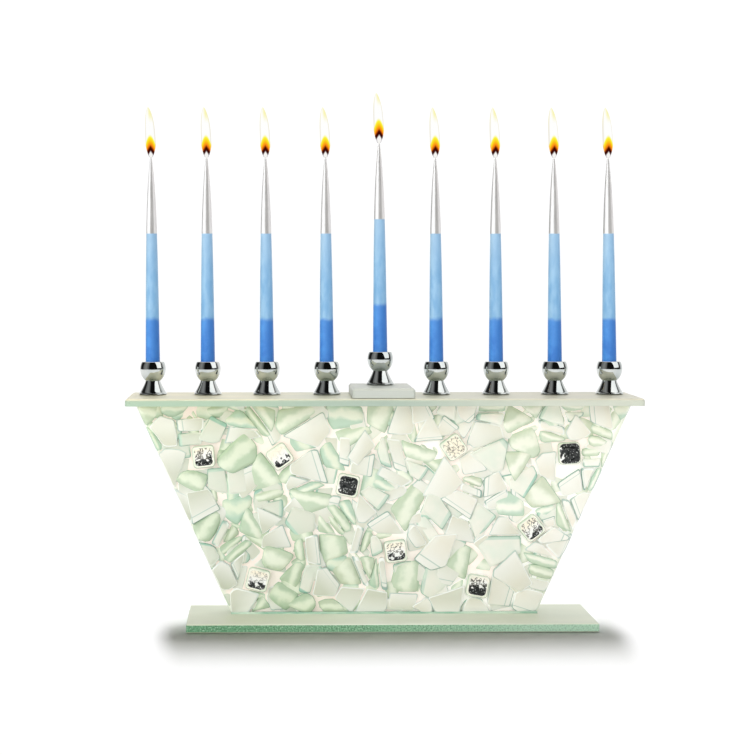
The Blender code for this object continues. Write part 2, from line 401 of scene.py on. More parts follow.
# %% [markdown]
# ## Small tools for modelling
#
# A Blender operator acts on whatever is selected. These helpers clear the selection, pick the
# parts of a mesh that a rule names, and run an edit on them.


# %% Modelling helpers
def start(obj):
    """Makes obj the only thing selected."""
    bpy.ops.object.select_all(action="DESELECT")
    obj.select_set(True)
    bpy.context.view_layer.objects.active = obj


def new_piece(name, points, faces=(), edges=()):
    """An object at the origin, all selected."""
    mesh = bpy.data.meshes.new(name)
    mesh.from_pydata([tuple(p) for p in points], list(edges), [tuple(f) for f in faces])
    piece = bpy.data.objects.new(name, mesh)
    bpy.context.scene.collection.objects.link(piece)
    start(piece)
    bpy.ops.object.mode_set(mode="EDIT")
    bpy.ops.mesh.select_all(action="SELECT")
    bpy.ops.object.mode_set(mode="OBJECT")
    return piece


def run_in_edit_mode(*actions):
    bpy.ops.object.mode_set(mode="EDIT")
    for action in actions:
        action()
    bpy.ops.object.mode_set(mode="OBJECT")


def choose_all(obj, mode):
    """Selects every vertex, edge or face."""
    start(obj)
    run_in_edit_mode(
        lambda: bpy.ops.mesh.select_mode(type=mode),
        lambda: bpy.ops.mesh.select_all(action="SELECT"),
    )


def pull(distance):
    """Extrudes what is selected along Y. The front of the object looks along -Y."""
    bpy.ops.mesh.extrude_region_move(TRANSFORM_OT_translate={"value": (0, distance, 0)})


def pull_ring(piece, distance, rim, middles, shares):
    """Pulls, draws each part of the pulled ring in towards its own middle, and notes the rim.

    The vertices say which part they belong to by the number kept as "chip".
    """
    run_in_edit_mode(lambda: pull(distance))
    chips = piece.data.attributes["chip"].data
    rims = piece.data.attributes["rim"].data
    for vertex in piece.data.vertices:
        if vertex.select:
            number = round(chips[vertex.index].value)
            middle, share = middles[number], shares[number]
            vertex.co.x = middle.x + (vertex.co.x - middle.x) * share
            vertex.co.z = middle.y + (vertex.co.z - middle.y) * share
            rims[vertex.index].value = rim


def face_out():
    bpy.ops.mesh.select_all(action="SELECT")
    bpy.ops.mesh.remove_doubles(threshold=1e-6)
    bpy.ops.mesh.normals_make_consistent(inside=False)


def smooth(obj, degrees=35):
    start(obj)
    bpy.ops.object.shade_smooth_by_angle(angle=math.radians(degrees))


def keep_numbers(obj, **numbers):
    """Stores numbers on the vertices, for a finish to read."""
    for name, values in numbers.items():
        found = obj.data.attributes.get(name)
        layer = found or obj.data.attributes.new(name, "FLOAT", "POINT")
        layer.data.foreach_set("value", values)


def settle(piece, body, material, slot, *nodes):
    """Gives a piece its finish and its body, in place of the CAD nodes it stands for."""
    piece.data.materials.clear()
    piece.data.materials.append(material)
    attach(piece, body)
    if nodes:
        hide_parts(*nodes)
    print(f"{piece.name}: {len(piece.data.polygons)} faces")


def slab(name, corners, front_y, depth, bevel):
    """A slab with eased edges, pulled back out of one four-sided face."""
    piece = new_piece(name, [(c.x, front_y, c.y) for c in corners], [range(4)])
    run_in_edit_mode(lambda: pull(depth), face_out)
    choose_all(piece, "EDGE")
    run_in_edit_mode(lambda: bpy.ops.mesh.bevel(offset=bevel, segments=2))
    smooth(piece)
    return piece


# %% [markdown]
# ## The glass chips
#
# The panel is a mosaic of broken window glass, laid close together and fused. Broken pieces
# have straight sides, they never quite fit, and no two are the same. So the panel is divided
# into cells round scattered points, as soap bubbles divide a plane. Each cell then loses its
# smallest corners until three, four or five are left, which opens wedge-shaped gaps like
# those between real shards.

# %% The panel's outline
panel_middle = (panel_high.x + panel_low.x) / 2
HALF_TOP = (panel_high.x - panel_low.x) / 2
HALF_FOOT = max(
    v.co.x - panel_middle
    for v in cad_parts["mosaic_layer"].data.vertices
    if v.co.z < panel_low.z + 1e-4
)


def half_width(z):
    share = (z - panel_low.z) / (panel_high.z - panel_low.z)
    return HALF_FOOT + (HALF_TOP - HALF_FOOT) * share


def panel_outline():
    """The panel's four corners, counter-clockwise from the foot."""
    foot = ((-HALF_FOOT, panel_low.z), (HALF_FOOT, panel_low.z))
    top = ((HALF_TOP, panel_high.z), (-HALF_TOP, panel_high.z))
    return [Vector((panel_middle + x, z)) for x, z in foot + top]


print("panel half width, foot and top:", round(HALF_FOOT, 4), round(HALF_TOP, 4))


# %% [markdown]
# An outline is a list of corners, counter-clockwise. A straight cut keeps the part on one side
# of a line, as a glass cutter does. A cell is what is left of the panel after a cut half way
# to every neighbour.


# %% Cutting outlines
# Points further apart than this are never neighbours.
NEIGHBOURS_REACH = 0.08


def cut(outline, point, outward):
    """The part of a convex outline on the inner side of a line."""
    kept = []
    for a, b in zip(outline, outline[1:] + outline[:1]):
        side_a, side_b = (a - point).dot(outward), (b - point).dot(outward)
        if side_a <= 0:
            kept.append(a)
        if side_a * side_b < 0:
            kept.append(a.lerp(b, side_a / (side_a - side_b)))
    return kept


def area(outline):
    pairs = zip(outline, outline[1:] + outline[:1])
    return abs(sum(a.x * b.y - b.x * a.y for a, b in pairs)) / 2


def centre_of(outline):
    return sum(outline, Vector((0, 0))) / len(outline)


def cell_round(seed, others, outline):
    cell = outline
    for other in others:
        if other is not seed and (other - seed).length < NEIGHBOURS_REACH:
            cell = cut(cell, (seed + other) / 2, other - seed)
            if len(cell) < 3:
                return []
    return cell


def fewer_corners(outline, count):
    """Drops the corner that costs the least glass, until count are left."""
    corners = list(outline)
    while len(corners) > count:
        n = len(corners)
        loss = [area([corners[i - 1], corners[i], corners[(i + 1) % n]]) for i in range(n)]
        corners.pop(loss.index(min(loss)))
    return corners


# %% [markdown]
# Nine square tiles were laid first, each turned a little. A chip keeps clear of them: its cell
# is cut back along a tile's own side.

# %% Tile places
TILE_TURNS = (6, -14, 35, -12, 8, 35, -10, 38, 4)
TILE_SIDE = 0.014
TILE_ROOM = TILE_SIDE / 2 + 0.0007
# Chips whose middle is further off than this never touch the tile.
TILE_REACH = 0.045


class Tile:
    """A square tile's middle and the directions of its sides."""

    def __init__(self, number, degrees):
        self.number = number
        self.node = f"foil_tile_{number}"
        low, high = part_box(self.node)
        self.centre = Vector(((low.x + high.x) / 2, (low.z + high.z) / 2))
        self.front, self.back = low.y, high.y
        turn = math.radians(degrees)
        self.right = Vector((math.cos(turn), math.sin(turn)))
        self.up = Vector((-self.right.y, self.right.x))

    def trim(self, seed, outline):
        away = seed - self.centre
        sides = (self.right, -self.right, self.up, -self.up)
        side = max(sides, key=lambda s: s.dot(away))
        if away.length > TILE_REACH or len(outline) < 3:
            return outline
        return cut(outline, self.centre + side * TILE_ROOM, -side)


tiles = [Tile(number, turn) for number, turn in enumerate(TILE_TURNS, 1)]


# %% [markdown]
# The points are set in rows and then nudged, because points thrown quite at random leave cells
# of very uneven size. Here and there one is dropped, which makes room for a large chip.


# %% Scattering the chips
# How close the rows lie and how far a point is nudged, as shares of the pitch.
ROW_PITCH, NUDGE = 0.87, 0.46
SMALLEST_CELL = 3e-5
# What is left of a cell must be at least this share of it, or it keeps five corners.
LEAST_LEFT = 0.66


def scatter(pitch, dice, near_tiles, dropped):
    """Points in nudged rows over the panel, none of them too near a tile."""
    seeds = []
    rows = round((panel_high.z - panel_low.z) / (pitch * ROW_PITCH))
    step = (panel_high.z - panel_low.z) / rows
    for row in range(-1, rows + 1):
        z = panel_low.z + (row + 0.5) * step
        first = panel_middle - half_width(z) - pitch
        columns = round(2 * (half_width(z) + pitch) / pitch)
        for column in range(columns + 1):
            nudge = Vector((dice.uniform(-1, 1), dice.uniform(-1, 1))) * pitch * NUDGE
            seed = Vector((first + (column + row % 2 / 2) * pitch, z)) + nudge
            lonely = all((seed - tile.centre).length > near_tiles for tile in tiles)
            if lonely and dice.random() > dropped:
                seeds.append(seed)
    return seeds


def broken_cells(pitch, dice, near_tiles, dropped):
    """Chip outlines over the whole panel, each a list of corners."""
    seeds = scatter(pitch, dice, near_tiles, dropped)
    chips = []
    for seed in seeds:
        cell = fitted(cell_round(seed, seeds, panel_outline()), seed)
        if len(cell) < 3 or area(cell) < SMALLEST_CELL:
            continue
        corners = fewer_corners(cell, dice.choice((3, 4, 4, 4, 4, 5, 5)))
        if on_the_border(cell):
            corners = cell
        elif area(corners) < LEAST_LEFT * area(cell):
            corners = fewer_corners(cell, 5)
        chips.append(corners)
    return chips


def on_the_border(corners):
    return any(abs(c.x - panel_middle) > half_width(c.y) - 1e-4 for c in corners)


def fitted(corners, seed):
    """A chip cut back to the panel's sides, and clear of the tiles."""
    border = panel_outline()
    for a, b in zip(border, border[1:] + border[:1]):
        along = (b - a).normalized()
        corners = cut(corners, a, Vector((along.y, -along.x))) if len(corners) > 2 else []
    for tile in tiles:
        corners = tile.trim(seed, corners)
    return corners


# %% [markdown]
# Real chips were strewn by hand, so some lie across their neighbours, and some had cracked
# lengthwise into slivers. Up to one chip in five is cracked here. Another one in four is
# turned and grown a little, and raised so that it lies on top.


# %% Cracks and overlaps
RAISED = 0.0011
# A chip narrower than this, from its middle to its nearest side, is left out.
SLIVER = 0.0016
CRACK_WIDTH = 0.0008
# The most that a loose chip is turned, in degrees, and grown.
MOST_TURNED, MOST_GROWN = 35, 1.2
# One roll per chip: below the first it may crack, and from there to the second it may be loose.
CRACKED_BELOW, LOOSE_BELOW = 0.20, 0.48
SMALLEST_CRACKED, SMALLEST_LOOSE = 1.5e-4, 6e-5


def inner_radius(corners):
    centre = centre_of(corners)
    sides = zip(corners, corners[1:] + corners[:1])
    return min(abs((b - a).normalized().cross(centre - a)) for a, b in sides)


def cracked(corners):
    """The two halves of a chip that broke along its length."""
    a, b = max(zip(corners, corners[1:] + corners[:1]), key=lambda s: (s[1] - s[0]).length)
    along = (b - a).normalized()
    across = Vector((-along.y, along.x))
    centre, apart = centre_of(corners), across * (CRACK_WIDTH / 2)
    return [cut(corners, centre - apart, across), cut(corners, centre + apart, -across)]


def jostled(corners, dice):
    """The chip turned and grown, cut back to where it still fits."""
    centre = centre_of(corners)
    turn = Matrix.Rotation(math.radians(dice.uniform(-MOST_TURNED, MOST_TURNED)), 2)
    grown = dice.uniform(1.0, MOST_GROWN)
    return fitted([centre + (turn @ (c - centre)) * grown for c in corners], centre)


def may_be_loose(luck, corners, loose):
    return luck < LOOSE_BELOW and area(loose) > SMALLEST_LOOSE and not on_the_border(corners)


def lay_chips(pitch, gap, dice, near_tiles, dropped):
    """Pairs of a chip's outline and how far forward it is raised."""
    laid = []
    for corners in broken_cells(pitch, dice, near_tiles, dropped):
        luck = dice.random()
        loose = jostled(corners, dice)
        if luck < CRACKED_BELOW and area(corners) > SMALLEST_CRACKED:
            laid += [(half, dice.choice((0.0, RAISED))) for half in cracked(corners)]
        elif may_be_loose(luck, corners, loose):
            laid.append((loose, RAISED))
        else:
            laid.append((corners, 0.0))
    laid = [(drawn_in(corners, gap), raised) for corners, raised in laid if len(corners) > 2]
    return [(corners, raised) for corners, raised in laid if inner_radius(corners) > SLIVER]


def drawn_in(corners, gap):
    """The outline made smaller by about a gap all round."""
    centre = centre_of(corners)
    reach = sum((c - centre).length for c in corners) / len(corners)
    return [centre + (c - centre) * (1 - gap / reach) for c in corners]


dice = random.Random(36)
front_chips = lay_chips(pitch=0.0164, gap=0.0007, dice=dice, near_tiles=0.0128, dropped=0.10)
back_chips = lay_chips(pitch=0.0135, gap=0.0006, dice=dice, near_tiles=0.0108, dropped=0.04)
print("chips in front:", len(front_chips), " behind:", len(back_chips))

# %% [markdown]
# Three kinds of glass were broken up: frosted, pale green and almost clear. Every chip starts
# as a flat outline with its corners worn round. An extrude pulls all the chips of a kind out
# to their thickness at once. A few more short pulls follow, and after each one the front ring
# is drawn in towards its own chip's middle. A bevel would cross itself in the sharp corners,
# while drawing in never does. Two small steps give frosted glass its crisp rim, and four
# raise fire-polished green glass into a pillow.

# %% Shapes of the kinds
# For each kind: how far a corner is worn, how far a side bends in and out, and pulls of
# (forward, drawn in, rim).
CHIP_SHAPES = {
    "frosted": (
        0.0013,
        (-0.0003, 0.0003),
        ((0.0030, 0, 1.0), (0.0004, 0.00035, 0.7), (0.0001, 0.00035, 0.0)),
    ),
    "green": (
        0.0024,
        (-0.0001, 0.0008),
        (
            (0.0020, 0, 1.0),
            (0.0007, 0.0003, 0.85),
            (0.0006, 0.0007, 0.5),
            (0.0004, 0.0009, 0.2),
            (0.0002, 0.0014, 0.0),
        ),
    ),
    "clear": (
        0.0014,
        (-0.0003, 0.0005),
        ((0.0030, 0, 1.0), (0.0005, 0.0004, 0.6), (0.0003, 0.0010, 0.0)),
    ),
}


# The most of a side that one worn corner may take, and of its width that a chip is drawn in.
MOST_WORN, MOST_DRAWN_IN = 0.36, 0.6


def worn(outline, reach, bend, dice):
    """The outline with each corner turned into a small curve, and each side a little bent."""
    soft = []
    for i, corner in enumerate(outline):
        before, after = outline[i - 1], outline[(i + 1) % len(outline)]
        a = corner + (before - corner) * min(MOST_WORN, reach / (before - corner).length)
        b = corner + (after - corner) * min(MOST_WORN, reach / (after - corner).length)
        side = after - corner
        outward = Vector((side.y, -side.x)).normalized()
        bent = corner + side * dice.uniform(0.42, 0.58) + outward * dice.uniform(*bend)
        soft += [a, (a + b + corner * 2) / 4, b, bent]
    return soft


def side_to_lean_on(corners, dice, longest):
    """The outward direction of one side, and how far that side is from the middle."""
    sides = list(zip(corners, corners[1:] + corners[:1]))
    side = max(sides, key=lambda s: (s[1] - s[0]).length) if longest else dice.choice(sides)
    along = (side[1] - side[0]).normalized()
    outward = Vector((along.y, -along.x))
    return outward, outward.dot(side[0] - centre_of(corners))


# %% [markdown]
# All the chips of a kind make one piece, because a few hundred separate ones would be slow to
# handle. Each vertex carries the number of its chip, so that every chip can still be set at
# its own depth and tilt, and have a tone of its own.


# %% Making chips
# How far inside the panel's sides every point stays, and how strongly chips are tilted.
SIDE_ROOM, TILT = 0.0002, 0.035


def held_in(point):
    """The point, or the nearest one at its height inside the panel's sides."""
    limit = half_width(point.y) - SIDE_ROOM
    return Vector((panel_middle + max(-limit, min(limit, point.x - panel_middle)), point.y))


def make_chips(name, kind, chips, front_y, spread, dice, material):
    """One piece that holds all the chips of a kind."""
    wear, bend, pulls = CHIP_SHAPES[kind]
    points, faces, ids = [], [], []
    for number, (corners, _) in enumerate(chips):
        ring = [held_in(p) for p in worn(corners, wear * dice.uniform(0.5, 1.3), bend, dice)]
        faces.append(range(len(points), len(points) + len(ring)))
        points += [(p.x, 0.0, p.y) for p in ring]
        ids += [number] * len(ring)
    piece = new_piece(name, points, faces)
    keep_numbers(piece, chip=ids, rim=[1.0] * len(ids))
    radii = [inner_radius(corners) for corners, _ in chips]
    centres = [centre_of(corners) for corners, _ in chips]
    for forward, inwards, rim in pulls:
        shares = [1 - min(MOST_DRAWN_IN, inwards / radius) for radius in radii]
        pull_ring(piece, -forward, rim, centres, shares)
    place_chips(piece, kind, chips, centres, front_y, spread, dice)
    run_in_edit_mode(face_out)
    smooth(piece, degrees=42)
    settle(piece, STAND, material, "mosaic_glass")


def place_chips(piece, kind, chips, centres, front_y, spread, dice):
    """Sets every chip at its own depth and tilt, and notes what its finish needs."""
    thick = sum(forward for forward, _, _ in CHIP_SHAPES[kind][2])
    leans = [side_to_lean_on(corners, dice, kind == "green") for corners, _ in chips]
    lots = [dice.random() for _ in chips]
    tilts = [(dice.gauss(0, TILT), dice.gauss(0, TILT)) for _ in chips]
    depths = [dice.uniform(0, spread) - raised for _, raised in chips]
    # Part tone at random, and part painted shade towards the lower left.
    deeps_and_shades = [green_and_shade(centre) * 0.75 + dice.random() * 0.35 for centre in centres]
    across, lot, deep = [], [], []
    for vertex, chip in zip(piece.data.vertices, piece.data.attributes["chip"].data):
        number = round(chip.value)
        offset = Vector((vertex.co.x, vertex.co.z)) - centres[number]
        outward, distance = leans[number]
        across.append(offset.dot(outward) / distance)
        lot.append(lots[number])
        deep.append(deeps_and_shades[number])
        tilt_x, tilt_z = tilts[number]
        lift = offset.x * tilt_x + offset.y * tilt_z
        vertex.co.y += front_y + thick + depths[number] + lift
    keep_numbers(piece, across=across, lot=lot, deep=deep)


# %% [markdown]
# The glass is not mixed evenly. More green chips are dealt to the left and along the foot,
# and to the row under the shelf. The same share also paints every chip darker towards the
# lower left, as shade, so the right side is nearly white.


# %% Sharing out the glass
# A chip smaller than this counts as small, and one this close to the shelf as in the top row.
SMALL_CHIP, TOP_ROW = 1.2e-4, 0.012
FROSTED_BELOW, CLEAR_BELOW = 0.42, 0.60


def green_and_shade(centre):
    """From 0 on the pale right to 1 in the lower left: more green glass there, and more painted shade.
    """
    left = (panel_middle - centre.x) / HALF_TOP
    low = (panel_high.z - centre.y) / (panel_high.z - panel_low.z)
    return min(1.0, max(0.0, 0.44 + 0.80 * left + 0.45 * (low - 0.5)))


def share_out(chips, dice):
    """Deals the chips out to the kinds. Small ones are more often green."""
    dealt = {kind: [] for kind in CHIP_SHAPES}
    for corners, raised in chips:
        centre = centre_of(corners)
        roll = dice.random() + (0.14 if area(corners) < SMALL_CHIP else -0.06)
        roll += (green_and_shade(centre) - 0.5) * 0.22
        roll += 0.25 if centre.y > panel_high.z - TOP_ROW else 0.0
        clear_or_green = "clear" if roll < CLEAR_BELOW else "green"
        kind = "frosted" if roll < FROSTED_BELOW else clear_or_green
        dealt[kind].append((corners, raised))
    return dealt


# %% [markdown]
# Frosted glass is nearly white with a satin skin, and shows its thickness only as a thin
# line round the rim: grey-green on one side, white on the other. The green glass is a small
# lens. Its cream middle is a painted highlight, and its long sides are a deeper green, painted
# darker as shade. The clear chips look like the ground behind them, apart from a sea-green band
# down one side, where the eye looks through the glass edgeways.


# %% Chip finishes
def frosted_finish():
    glass = Finish("frosted_chip_glass", Roughness=0.5, Coat_Weight=0.15, Coat_Roughness=0.3)
    lot, rim, across, deep = glass.attributes("lot", "rim", "across", "deep")
    grain = glass.noise(900, detail=3)
    cloud = glass.noise(55, detail=3)
    body = glass.mix(lot, tone(232, 231, 217), tone(245, 243, 233))
    body = glass.mix(cloud.step(0.35, 0.65) * 0.6, body, tone(236, 228, 210))
    # Painted shade: darker towards the lower left, with tone at random.
    body = glass.mix(deep * 0.85, body, tone(190, 197, 176))
    body = glass.mix((across * 0.4 + 0.3).clamped(), body, tone(242, 243, 236))
    shown = across.step(-0.1, 0.8) * (0.3 + lot * 0.7)
    edge = glass.mix(shown, tone(244, 246, 240), tone(136, 170, 156))
    inner = across.step(0.50, 0.53) * (1 - across.step(0.56, 0.60)) * lot.step(0.55, 0.6)
    body = glass.mix(inner * 0.7, body, tone(160, 188, 174))
    glass.set(Base_Color=glass.mix(rim.step(0.45, 0.8), body, edge))
    glass.set(Roughness=0.42 + grain * 0.2)
    glass.bump(grain, 0.2, 0.0001)
    return glass.material


def green_finish():
    glass = Finish("green_chip_glass", Roughness=0.14, Coat_Weight=0.35, Coat_Roughness=0.08)
    lot, rim, across, deep = glass.attributes("lot", "rim", "across", "deep")
    wave = glass.noise(110, detail=3)
    from_middle = (across - 0.1 + (wave - 0.5) * 1.4).maths("ABSOLUTE")
    # Painted shade: the long sides are a deeper green, darker still towards the lower left.
    thick = glass.mix(deep, tone(213, 224, 200), tone(178, 199, 168))
    thick = glass.mix(lot.step(0.6, 0.9) * 0.55, thick, tone(182, 214, 197))
    thick = glass.mix((0.35 - lot).clamped() * 1.2, thick, tone(208, 212, 184))
    # Painted highlight: the cream middle of the lens.
    painted_highlight = glass.mix(deep * 0.8, tone(244, 246, 230), tone(214, 226, 198))
    body = glass.mix(from_middle.step(0.12, 0.75), painted_highlight, thick)
    glass.set(Base_Color=glass.mix(rim.step(0.7, 1.0) * 0.45, body, tone(150, 192, 164)))
    glass.set(Roughness=0.12 + wave * 0.14)
    glass.bump(wave, 0.3, 0.0010)
    return glass.material


def clear_finish():
    glass = Finish("clear_chip_glass", Roughness=0.12, Coat_Weight=0.4, Coat_Roughness=0.05)
    lot, rim, across, deep = glass.attributes("lot", "rim", "across", "deep")
    wave = glass.noise(80, detail=2)
    body = glass.mix(wave.step(0.3, 0.7), tone(250, 246, 234), tone(234, 240, 226))
    # Painted shade: darker towards the lower left, with tone at random.
    body = glass.mix(deep * 0.8, body, tone(200, 207, 188))
    band = across.step(0.66, 0.76) * (0.30 + lot * 0.5)
    teal = glass.mix(wave.step(0.4, 0.6), tone(128, 190, 168), tone(176, 214, 192))
    tinted = glass.mix(band, body, teal)
    edge = glass.mix(across.step(-0.4, 0.4), tone(236, 242, 232), tone(128, 172, 154))
    glass.set(Base_Color=glass.mix(rim.step(0.4, 0.9) * 0.75, tinted, edge))
    glass.set(Roughness=0.08 + wave * 0.12)
    glass.bump(wave, 0.25, 0.0008)
    return glass.material


CHIP_FINISHES = {"frosted": frosted_finish(), "green": green_finish(), "clear": clear_finish()}

# %% [markdown]
# There are two layers. The smaller chips of the back one show through the gaps of the front
# one, so that the panel has no empty places.

# %% Lay the mosaic
# For each layer: its chips, where its front lies, and how far back a chip may lie from that.
LAYERS = (
    ("front", front_chips, panel_low.y + 0.0012, 0.0008),
    ("back", back_chips, panel_low.y + 0.0030, 0.0006),
)
for layer, chips, front_y, spread in LAYERS:
    for kind, dealt in share_out(chips, dice).items():
        name = f"{kind}_chips_{layer}"
        make_chips(name, kind, dealt, front_y, spread, dice, CHIP_FINISHES[kind])

# %% [markdown]
# Behind and between the chips lies the ground that holds them: a creamy layer of fused glass
# powder, a little pink where it is thick. It is painted darker towards the left, as shade, and
# given a faint glow, as painted light in the gaps. It is a slab with eased edges, pulled out of
# one four-sided face.


# %% The ground
GROUND_DEPTH, GROUND_BEVEL = 0.0036, 0.0008
# Painted light: the ground's faint glow, which lifts the shade in the gaps between the chips.
GROUND_PAINTED_GLOW = 0.14


def ground_finish():
    ground = Finish("mosaic_ground", Roughness=0.4, Coat_Weight=0.15, Coat_Roughness=0.2)
    cloud = ground.noise(38, detail=3)
    fine = ground.noise(420, detail=3)
    cream_and_shade = ground.mix(cloud.step(0.38, 0.62), tone(251, 238, 229), tone(252, 250, 244))
    # Painted shade: the ground is darker towards the left.
    left = (panel_middle - ground.along("X")) / HALF_TOP
    cream_and_shade = ground.mix(left.step(-0.5, 0.8) * 0.8, cream_and_shade, tone(234, 220, 208))
    off_middle = (ground.along("X") - panel_middle).maths("ABSOLUTE")
    inwards = half_width(ground.along("Z")) - off_middle
    cream_and_shade = ground.mix(1 - inwards.step(0.0008, 0.0045), cream_and_shade, tone(220, 224, 208))
    ground.set(Base_Color=cream_and_shade)
    ground.set(Roughness=0.3 + fine * 0.25)
    ground.set(Emission_Strength=GROUND_PAINTED_GLOW, Emission_Color=cream_and_shade)
    ground.bump(fine, 0.3, 0.0003)
    return ground.material


def make_ground():
    front_y = panel_low.y + GROUND_DEPTH
    depth = panel_high.y - front_y
    ground = slab("mosaic_ground", panel_outline(), front_y, depth, GROUND_BEVEL)
    settle(ground, STAND, ground_finish(), "mosaic_glass", "mosaic_layer")


make_ground()

# %% [markdown]
# The panel stands on the base in a bead of clear glue. It shows as a thin blue-green line
# along the foot.


# %% Glue bead
BEAD_HEIGHT, BEAD_DEPTH, BEAD_BEVEL = 0.0013, 0.0030, 0.0003
# How far the bead starts below the panel, and behind its front.
BEAD_BELOW, BEAD_BEHIND = 0.0004, 0.0002


def bead_finish():
    glue = Finish("glue_bead", Roughness=0.2, Coat_Weight=0.3, Coat_Roughness=0.1)
    streak = glue.noise(60, detail=3, stretch=(1, 4, 4)).step(0.35, 0.65)
    glue.set(Base_Color=glue.mix(streak, tone(150, 192, 168), tone(206, 226, 206)))
    return glue.material


def make_bead():
    foot = panel_low.z - BEAD_BELOW
    left, right = panel_middle - HALF_FOOT, panel_middle + HALF_FOOT
    top = foot + BEAD_HEIGHT
    corners = [Vector(c) for c in ((left, foot), (right, foot), (right, top), (left, top))]
    bead = slab("glue_bead", corners, panel_low.y + BEAD_BEHIND, BEAD_DEPTH, BEAD_BEVEL)
    settle(bead, STAND, bead_finish(), "mosaic_glass")


make_bead()

# %% [markdown]
# ## The foil tiles
#
# Each of the nine squares is a glass tile with crinkled metal leaf fused under it, so a clear
# border runs round a patch of silver wrinkles. Where the leaf would mirror the dark side of
# the room it is painted black, and its grey creases and bright flecks are painted as well. The
# tile is pulled out of a rounded square. The leaf is a fine grid, raised and lowered by noise.
# It lies in a shallow dish on the front of the tile, because there its wrinkles catch real light.


# %% Tile glass
TILE_CORNER = 0.0022
# The pulls of a tile: share of its thickness, share of its width, and rim. The last one makes
# a shallow dish.
TILE_PULLS = ((0.82, 1.0, 1.0), (0.18, 0.93, 0.5), (0.0, 0.86, 0.0), (-0.04, 0.97, 0.0))


def rounded_square(half, radius, steps=4):
    """Corners of a square with rounded corners, counter-clockwise."""
    points = []
    for quarter in range(4):
        middle = math.pi / 4 + quarter * math.pi / 2
        knee = Vector((math.cos(middle), math.sin(middle))) * math.sqrt(2) * (half - radius)
        for step in range(steps + 1):
            angle = middle - math.pi / 4 + step / steps * math.pi / 2
            points.append(knee + Vector((math.cos(angle), math.sin(angle))) * radius)
    return points


def tile_glass_finish():
    glass = Finish("tile_glass", Roughness=0.08, Coat_Weight=0.5, Coat_Roughness=0.04)
    wave = glass.noise(160, detail=2)
    rim = glass.attribute("rim")
    body = glass.mix(wave.step(0.35, 0.65), tone(250, 246, 232), tone(226, 234, 214))
    glass.set(Base_Color=glass.mix(rim.step(0.3, 1.0) * 0.6, body, tone(172, 204, 178)))
    glass.set(Roughness=0.05 + wave * 0.1)
    return glass.material


def make_tile_glass(tile, material):
    ring = rounded_square(TILE_SIDE / 2, TILE_CORNER)
    places = [tile.centre + tile.right * p.x + tile.up * p.y for p in ring]
    points = [(p.x, tile.back, p.y) for p in places]
    piece = new_piece(f"tile_{tile.number}_glass", points, [range(len(points))])
    keep_numbers(piece, chip=[0] * len(points), rim=[1.0] * len(points))
    thickness = tile.back - tile.front
    for forward, share, rim in TILE_PULLS:
        pull_ring(piece, -thickness * forward, rim, [tile.centre], [share])
    run_in_edit_mode(face_out)
    smooth(piece, degrees=40)
    settle(piece, STAND, material, "foil_glass", tile.node)


# %% [markdown]
# No two leaves were crinkled alike, so each has its own row of looks. The corners of the leaf
# are drawn in, as the fused foil's are, and its relief fades out towards the edge.


# %% Leaf
# For each tile: the direction in which its painted dark reflection grows, in degrees from the
# right, how dark that painted reflection is over all, how much painted grey crease shows, and
# how wide the clear border round it is.
LEAF_LOOKS = (
    (-75, 0.14, 0.90, 0.0014),
    (-100, 0.08, 0.50, 0.0014),
    (-48, 0.00, 0.35, 0.0014),
    (0, 1.20, 0.15, 0.0012),
    (-75, 0.06, 0.70, 0.0014),
    (-140, -1.00, 0.60, 0.0012),
    (-90, 0.40, 0.95, 0.0014),
    (-55, -0.04, 0.80, 0.0013),
    (0, 1.10, 0.35, 0.0006),
)
LEAF_GRID = 26
LEAF_THICKNESS, LEAF_LIFT = 0.0006, 0.0001
# How fine the crinkles are, in cycles per metre, and how high.
CRINKLES, CRINKLE_HEIGHT = 520, 0.00025
# From where a corner is drawn in, as the sum of both distances from the middle, and how much.
LEAF_CORNER, CORNER_DRAWN_IN = 1.62, 0.35


def leaf_finish():
    leaf = Finish("crinkled_leaf", Roughness=0.3, Coat_Weight=0.8, Coat_Roughness=0.05)
    shade, wrinkled = leaf.attributes("shade", "wrinkled")
    coarse = leaf.noise(330, detail=3, roughness=0.55)
    fine = leaf.noise(900, detail=2)
    # Painted reflection: black where the leaf would mirror the dark room, grey shade in the creases,
    # and bright flecks.
    dark = (shade + (coarse - 0.5) * 2.6).step(0.32, 0.46)
    painted_crease = 1 - ((coarse - 0.5) * 14).maths("ABSOLUTE").clamped()
    plain = leaf.mix(shade.step(-0.6, 0.2), tone(249, 241, 220), tone(246, 246, 242))
    silver = leaf.mix((painted_crease * wrinkled).step(0.2, 0.6), plain, tone(92, 91, 80))
    painted_black = leaf.mix(fine.step(0.58, 0.70) * 0.8, tone(22, 27, 26), tone(205, 210, 204))
    leaf.set(Base_Color=leaf.mix(dark, silver, painted_black))
    leaf.set(Metallic=dark * 0.5 + 0.05, Roughness=0.22 + fine * 0.2)
    leaf.bump(coarse, 0.5, 0.0004)
    return leaf.material


